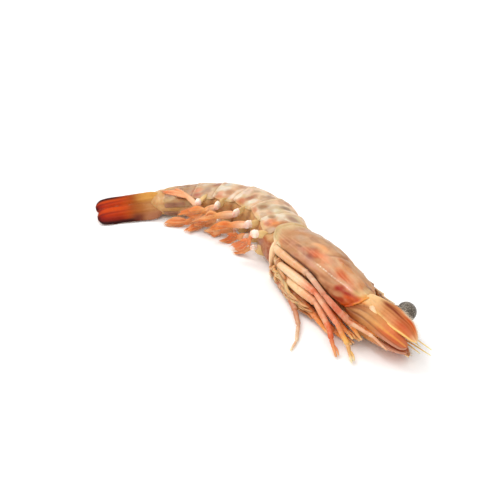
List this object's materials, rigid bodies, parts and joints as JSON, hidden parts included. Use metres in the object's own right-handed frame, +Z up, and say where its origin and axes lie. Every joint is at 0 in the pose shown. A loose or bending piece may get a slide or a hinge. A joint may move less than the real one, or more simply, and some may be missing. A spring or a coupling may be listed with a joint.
{
  "type": "raw tiger prawn",
  "caption": "A whole raw tiger prawn in its shell, lying on its side with its tail curled, with legs, eyes, feeler scales and tail fan.",
  "frame": {"origin": "centre of the bounding box on plan, at the level that the prawn lies on", "axes": "+X towards the head, +Z up through the animal's right side, which faces up; the belly faces -Y"},
  "size_m": [0.1626, 0.0682, 0.0189],
  "materials": {
    "shell": "wet, slightly see-through shell, cream with brown bands",
    "flesh": "soft, wet",
    "tail_fan": "wet, orange-red with dark rims",
    "legs": "smooth, cream to orange",
    "swimmerets": "smooth, orange-pink",
    "eyes": "polished, dark grey"
  },
  "bodies": {
    "root": {"head_shell": "shell", "antennal_scale_right": "shell", "antennal_scale_left": "shell", "tail_segment_1": "shell", "tail_segment_2": "shell", "tail_segment_3": "shell", "tail_segment_4": "shell", "tail_segment_5": "shell", "tail_segment_6": "shell", "chest": "flesh", "face": "flesh", "telson": "tail_fan", "uropod_inner_right": "tail_fan", "uropod_inner_left": "tail_fan", "uropod_outer_right": "tail_fan", "uropod_outer_left": "tail_fan", "leg_right_1": "legs", "swimmeret_right_1": "swimmerets", "leg_right_2": "legs", "swimmeret_right_2": "swimmerets", "leg_right_3": "legs", "swimmeret_right_3": "swimmerets", "leg_right_4": "legs", "swimmeret_right_4": "swimmerets", "leg_right_5": "legs", "swimmeret_right_5": "swimmerets", "jaw_leg_right": "legs", "eyestalk_right": "legs", "antenna_right": "legs", "antennule_right": "legs", "eye_right": "eyes", "leg_left_1": "legs", "swimmeret_left_1": "swimmerets", "leg_left_2": "legs", "swimmeret_left_2": "swimmerets", "leg_left_3": "legs", "swimmeret_left_3": "swimmerets", "leg_left_4": "legs", "swimmeret_left_4": "swimmerets", "leg_left_5": "legs", "swimmeret_left_5": "swimmerets", "jaw_leg_left": "legs", "eyestalk_left": "legs", "antenna_left": "legs", "antennule_left": "legs", "eye_left": "eyes"}
  },
  "joints": []
}
